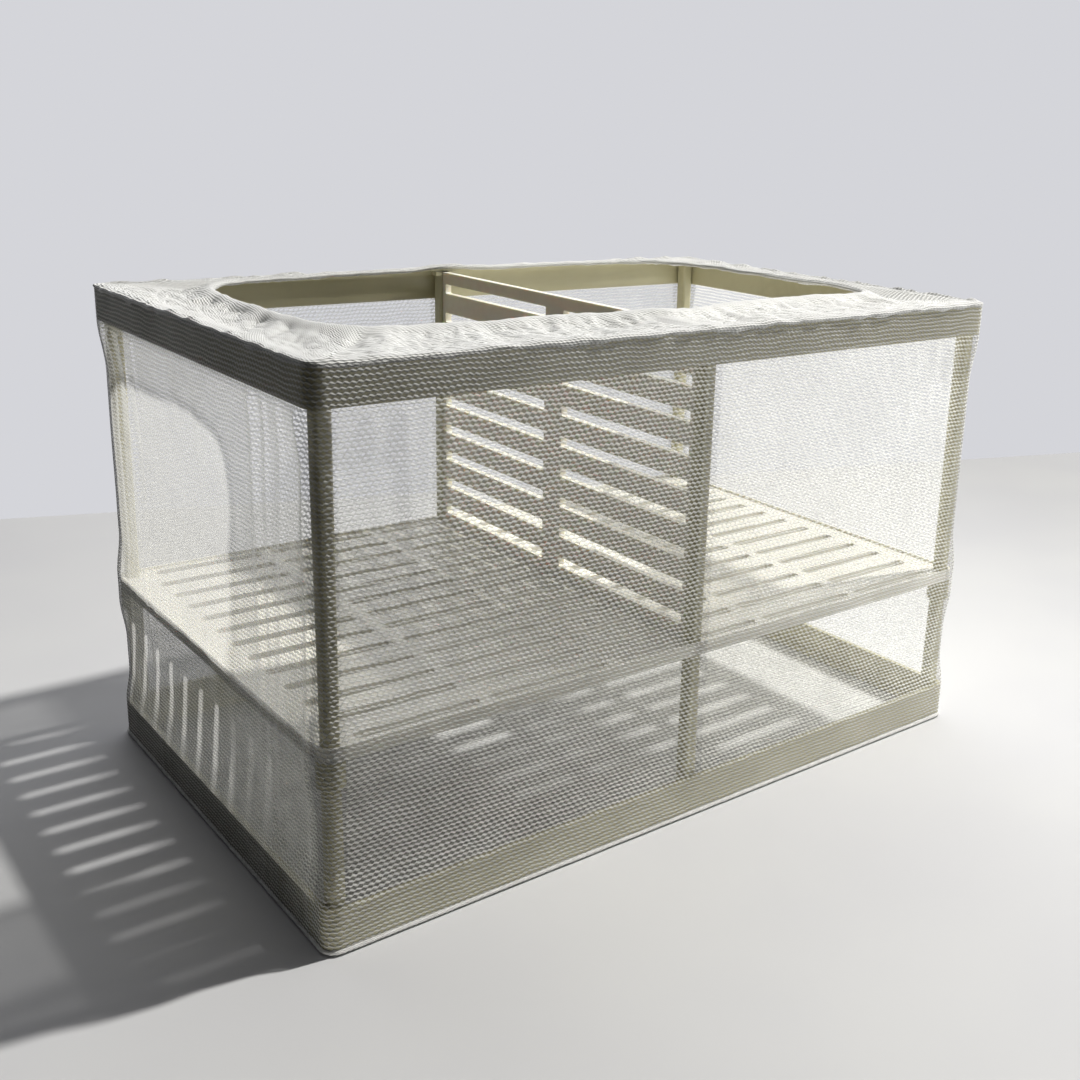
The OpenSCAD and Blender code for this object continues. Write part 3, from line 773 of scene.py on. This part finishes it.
def table_paint():
    """Pale paint, faintly clouded, with painted shade that makes it darker to the right, where the lamp
    lights it most. Light that isn't on its way to the camera meets another table, so that its bounce on the
    box
    grows from left to right: dark in front and at the left, grey under the box, light at the right, with a
    lighter strip along the box's front."""
    made, tree, body = new_material("table_paint")
    where = add(tree, "ShaderNodeTexCoord").outputs["Object"]
    cloud = ramp(tree, noise(tree, where, 9.0, 2.0), 0.3, 0.7)
    paint = blended(tree, cloud, (0.54, 0.54, 0.55), (0.57, 0.57, 0.57))
    place = add(tree, "ShaderNodeNewGeometry").outputs["Position"]
    x, y = add(tree, "ShaderNodeSeparateXYZ", (place,)).outputs[:2]
    # painted shade: the paint darkens to the right, against the lamp's stronger light there
    painted_shade_to_right = ramp(tree, x, 0.10, 0.50, 1.0, 0.64)
    paint = add(tree, "ShaderNodeVectorMath", (paint, None, None, painted_shade_to_right), operation="SCALE").outputs[0]
    tree.links.new(paint, body.inputs["Base Color"])
    assign(body, {"Roughness": 0.8, "Specular IOR Level": 0.1})
    most = 0.95
    at_right = ramp(tree, x, 0.02, 0.24, 0.0, most)
    under_box = times(tree, ramp(tree, y, -0.18, -0.12), ramp(tree, x, -0.14, 0.10, 0.20, most))
    strip = times(tree, ramp(tree, y, -0.120, -0.098, 0.0, 0.70), ramp(tree, y, -0.079, -0.070, 1.0, 0.0))
    grey = calc(tree, "MINIMUM", plus(tree, plus(tree, at_right, under_box), strip), most)
    grey_colour = add(tree, "ShaderNodeCombineXYZ", (grey, grey, grey)).outputs[0]
    bounce = add(tree, "ShaderNodeBsdfDiffuse", (grey_colour,))
    seen = add(tree, "ShaderNodeLightPath").outputs["Is Camera Ray"]
    both = add(tree, "ShaderNodeMixShader", (seen, bounce.outputs[0], body.outputs[0]))
    tree.links.new(both.outputs[0], tree.nodes["Material Output"].inputs["Surface"])
    return made


table.materials.append(table_paint())


def studio_world():
    """A plain grey backdrop for the camera, and for all other light a soft lobe round one direction: its
    strength follows the dot product with that direction along a smooth step."""
    made = bpy.data.worlds.new("studio")
    made.use_nodes = True
    tree = made.node_tree
    tree.nodes.clear()
    seen = add(tree, "ShaderNodeLightPath").outputs["Is Camera Ray"]
    way = add(tree, "ShaderNodeTexCoord").outputs["Generated"]
    from_rear_right = (0.50, 0.82, 0.27)
    dot = add(tree, "ShaderNodeVectorMath", (way, from_rear_right), operation="DOT_PRODUCT").outputs["Value"]
    soft = add(tree, "ShaderNodeBackground", ((0.95, 0.96, 1.0, 1), ramp(tree, dot, 0.42, 0.98, 0.02, 1.7)))
    backdrop = add(tree, "ShaderNodeBackground", ((0.66, 0.665, 0.70, 1), 1.0))
    both = add(tree, "ShaderNodeMixShader", (seen, soft.outputs[0], backdrop.outputs[0]))
    add(tree, "ShaderNodeOutputWorld", (both.outputs[0],))
    return made


bpy.context.scene.world = studio_world()


def disk_lamp(name, place, aim, size, energy, colour=(1.0, 1.0, 1.0)):
    """A round lamp at place that shines towards aim."""
    data = bpy.data.lights.new(name, "AREA")
    data.shape = "DISK"
    data.size = size
    data.energy = energy
    data.color = colour
    obj = bpy.data.objects.new(name, data)
    obj.location = place
    way = np.subtract(aim, place)
    tilt = math.acos(-way[2] / np.linalg.norm(way))
    obj.rotation_euler = (tilt, 0, math.atan2(way[1], way[0]) - math.pi / 2)
    bpy.context.collection.objects.link(obj)
    return obj


lamp_colour = (1.0, 0.985, 0.95)
disk_lamp("lamp", (0.90, -0.25, 1.15), aim=(-0.02, 0.0, 0.07), size=0.070, energy=28.5, colour=lamp_colour)
card = disk_lamp("card", (0.25, -0.45, 0.09), aim=(0.55, 0.50, 0.09), size=0.15, energy=0.42)
card.visible_camera = False

camera_data = bpy.data.cameras.new("camera")
camera = bpy.data.objects.new("camera", camera_data)
bpy.context.collection.objects.link(camera)
picture_px, focal_px, centre_px = 1080, 1272.2, (634.3, 486.2)
heading, pitch, bank = (math.radians(angle) for angle in (39.338, 15.751, 2.102))
level = math.cos(pitch)
forward = np.array([math.sin(heading) * level, math.cos(heading) * level, -math.sin(pitch)])
right = np.array([math.cos(heading), -math.sin(heading), 0.0])
up = np.cross(right, forward)
right, up = math.cos(bank) * right + math.sin(bank) * up, -math.sin(bank) * right + math.cos(bank) * up
camera_place = Vector((-0.2450, -0.3423, 0.2079))
camera.matrix_world = Matrix.Translation(camera_place) @ Matrix((right, up, -forward)).transposed().to_4x4()
camera_data.sensor_fit = "HORIZONTAL"
camera_data.sensor_width = 36.0
camera_data.lens = camera_data.sensor_width * focal_px / picture_px
camera_data.shift_x = (picture_px / 2 - centre_px[0]) / picture_px
camera_data.shift_y = (centre_px[1] - picture_px / 2) / picture_px
camera_data.clip_start = 0.01
bpy.context.scene.camera = camera
bpy.context.scene.view_settings.view_transform = "Standard"
